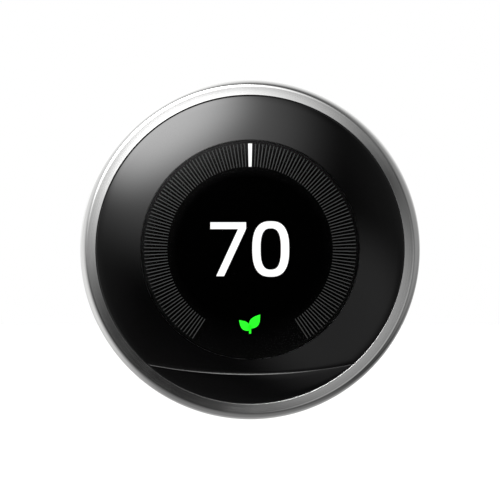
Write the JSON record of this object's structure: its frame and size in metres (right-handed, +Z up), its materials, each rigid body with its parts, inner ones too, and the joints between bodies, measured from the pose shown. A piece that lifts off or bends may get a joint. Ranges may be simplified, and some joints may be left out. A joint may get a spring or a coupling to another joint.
{
  "type": "wall thermostat",
  "caption": "Round wall thermostat with a domed glass-like front over a round display, a turning metal ring and a press-in front, plugged onto a wall base with wire terminals.",
  "frame": {"origin": "middle of the back face of the base, on the wall", "axes": "-Y out of the wall towards the room, +Z up, +X to the right as seen from the room"},
  "size_m": [0.084, 0.0308, 0.084],
  "materials": {
    "base_rear_shell": "fine moulded texture",
    "base_front_cover": "fine moulded texture",
    "base_circuit_board": "solder mask on laminate",
    "base_connector": "moulded",
    "base_screw": "zinc plated",
    "terminal_block": "moulded",
    "terminal_tab": "moulded",
    "tab_spring": "spring strip",
    "level_vial": "clear green acrylic",
    "level_cradle": "moulded",
    "humidity_sensor": "small sensor package",
    "head_rear_cap": "fine moulded texture",
    "head_connector": "moulded",
    "connector_board": "black solder mask on laminate",
    "usb_port": "tin plate",
    "battery": "foil pouch",
    "press_spring": "spring strip",
    "connector_flex": "polyimide film",
    "display_flex": "polyimide film",
    "front_frame": "moulded",
    "spring_screw": "zinc plated",
    "main_board": "black solder mask on laminate",
    "processor_shield": "tin plate",
    "radio_shield": "tin plate",
    "buzzer": "moulded",
    "ring_sensor": "small sensor package",
    "tact_switch": "tin plate",
    "switch_plunger": "acetal",
    "display_tray": "tin plate",
    "backlight_panel": "diffusing film",
    "display_panel": "polished",
    "lens_carrier": "moulded",
    "lens_gasket": "closed-cell foam",
    "front_lens": "polished, black round the display",
    "sensor_window": "polished",
    "motion_sensor_lens": "fine ribs",
    "motion_sensor": "tin plate",
    "proximity_sensor": "small sensor package",
    "light_sensor": "small sensor package",
    "glide_ring": "acetal",
    "control_ring": "polished and finely brushed round its axis",
    "encoder_band": "printed film"
  },
  "bodies": {
    "base": {"base_rear_shell": "base_rear_shell", "base_circuit_board": "base_circuit_board", "base_front_cover": "base_front_cover", "level_vial": "level_vial", "level_cradle": "level_cradle", "base_connector": "base_connector", "humidity_sensor": "humidity_sensor", "base_screw_1": "base_screw", "base_screw_2": "base_screw", "base_screw_3": "base_screw", "base_screw_4": "base_screw", "terminal_block_left": "terminal_block", "terminal_block_right": "terminal_block", "tab_spring_left": "tab_spring", "tab_spring_right": "tab_spring"},
    "head": {"head_rear_cap": "head_rear_cap", "head_connector": "head_connector", "connector_board": "connector_board", "usb_port": "usb_port", "battery": "battery", "press_spring": "press_spring", "connector_flex": "connector_flex"},
    "front": {"backlight_panel": "backlight_panel", "buzzer": "buzzer", "display_flex": "display_flex", "display_panel": "display_panel", "display_tray": "display_tray", "front_frame": "front_frame", "front_lens": "front_lens", "glide_ring": "glide_ring", "lens_carrier": "lens_carrier", "lens_gasket": "lens_gasket", "light_sensor": "light_sensor", "main_board": "main_board", "motion_sensor": "motion_sensor", "motion_sensor_lens": "motion_sensor_lens", "processor_shield": "processor_shield", "proximity_sensor": "proximity_sensor", "radio_shield": "radio_shield", "ring_sensor": "ring_sensor", "sensor_window": "sensor_window", "spring_screw_1": "spring_screw", "spring_screw_2": "spring_screw", "spring_screw_3": "spring_screw", "spring_screw_4": "spring_screw", "tact_switch": "tact_switch"},
    "plunger": {"switch_plunger": "switch_plunger"},
    "ring": {"control_ring": "control_ring", "encoder_band": "encoder_band"},
    "tab_left_1": {"terminal_tab_left_1": "terminal_tab"},
    "tab_left_2": {"terminal_tab_left_2": "terminal_tab"},
    "tab_left_3": {"terminal_tab_left_3": "terminal_tab"},
    "tab_left_4": {"terminal_tab_left_4": "terminal_tab"},
    "tab_left_5": {"terminal_tab_left_5": "terminal_tab"},
    "tab_right_1": {"terminal_tab_right_1": "terminal_tab"},
    "tab_right_2": {"terminal_tab_right_2": "terminal_tab"},
    "tab_right_3": {"terminal_tab_right_3": "terminal_tab"},
    "tab_right_4": {"terminal_tab_right_4": "terminal_tab"},
    "tab_right_5": {"terminal_tab_right_5": "terminal_tab"}
  },
  "joints": [
    {"name": "head_release", "type": "slide", "parent": "base", "child": "head", "axis": [0, -1, 0], "range_m": [0, 0.03]},
    {"name": "front_press", "type": "slide", "parent": "head", "child": "front", "axis": [0, 1, 0], "range_m": [0, 0.0008], "stiffness_N_per_m": 3000, "springref_m": -0.0005, "deforming": ["press_spring", "connector_flex"]},
    {"name": "plunger_travel", "type": "slide", "parent": "front", "child": "plunger", "axis": [0, -1, 0], "range_m": [0, 0.0003]},
    {"name": "ring_turn", "type": "hinge", "parent": "front", "child": "ring", "pos_m": [0, 0, 0], "axis": [0, -1, 0], "continuous": true},
    {"name": "tab_press_left_1", "type": "slide", "parent": "base", "child": "tab_left_1", "axis": [0, 1, 0], "range_m": [0, 0.0015], "stiffness_N_per_m": 2000, "springref_m": -0.001, "deforming": ["tab_spring_left"]},
    {"name": "tab_press_left_2", "type": "slide", "parent": "base", "child": "tab_left_2", "axis": [0, 1, 0], "range_m": [0, 0.0015], "stiffness_N_per_m": 2000, "springref_m": -0.001, "deforming": ["tab_spring_left"]},
    {"name": "tab_press_left_3", "type": "slide", "parent": "base", "child": "tab_left_3", "axis": [0, 1, 0], "range_m": [0, 0.0015], "stiffness_N_per_m": 2000, "springref_m": -0.001, "deforming": ["tab_spring_left"]},
    {"name": "tab_press_left_4", "type": "slide", "parent": "base", "child": "tab_left_4", "axis": [0, 1, 0], "range_m": [0, 0.0015], "stiffness_N_per_m": 2000, "springref_m": -0.001, "deforming": ["tab_spring_left"]},
    {"name": "tab_press_left_5", "type": "slide", "parent": "base", "child": "tab_left_5", "axis": [0, 1, 0], "range_m": [0, 0.0015], "stiffness_N_per_m": 2000, "springref_m": -0.001, "deforming": ["tab_spring_left"]},
    {"name": "tab_press_right_1", "type": "slide", "parent": "base", "child": "tab_right_1", "axis": [0, 1, 0], "range_m": [0, 0.0015], "stiffness_N_per_m": 2000, "springref_m": -0.001, "deforming": ["tab_spring_right"]},
    {"name": "tab_press_right_2", "type": "slide", "parent": "base", "child": "tab_right_2", "axis": [0, 1, 0], "range_m": [0, 0.0015], "stiffness_N_per_m": 2000, "springref_m": -0.001, "deforming": ["tab_spring_right"]},
    {"name": "tab_press_right_3", "type": "slide", "parent": "base", "child": "tab_right_3", "axis": [0, 1, 0], "range_m": [0, 0.0015], "stiffness_N_per_m": 2000, "springref_m": -0.001, "deforming": ["tab_spring_right"]},
    {"name": "tab_press_right_4", "type": "slide", "parent": "base", "child": "tab_right_4", "axis": [0, 1, 0], "range_m": [0, 0.0015], "stiffness_N_per_m": 2000, "springref_m": -0.001, "deforming": ["tab_spring_right"]},
    {"name": "tab_press_right_5", "type": "slide", "parent": "base", "child": "tab_right_5", "axis": [0, 1, 0], "range_m": [0, 0.0015], "stiffness_N_per_m": 2000, "springref_m": -0.001, "deforming": ["tab_spring_right"]}
  ],
  "couplings": [
    {"joint": "plunger_travel", "follows": "front_press", "ratio": 0.3125}
  ]
}
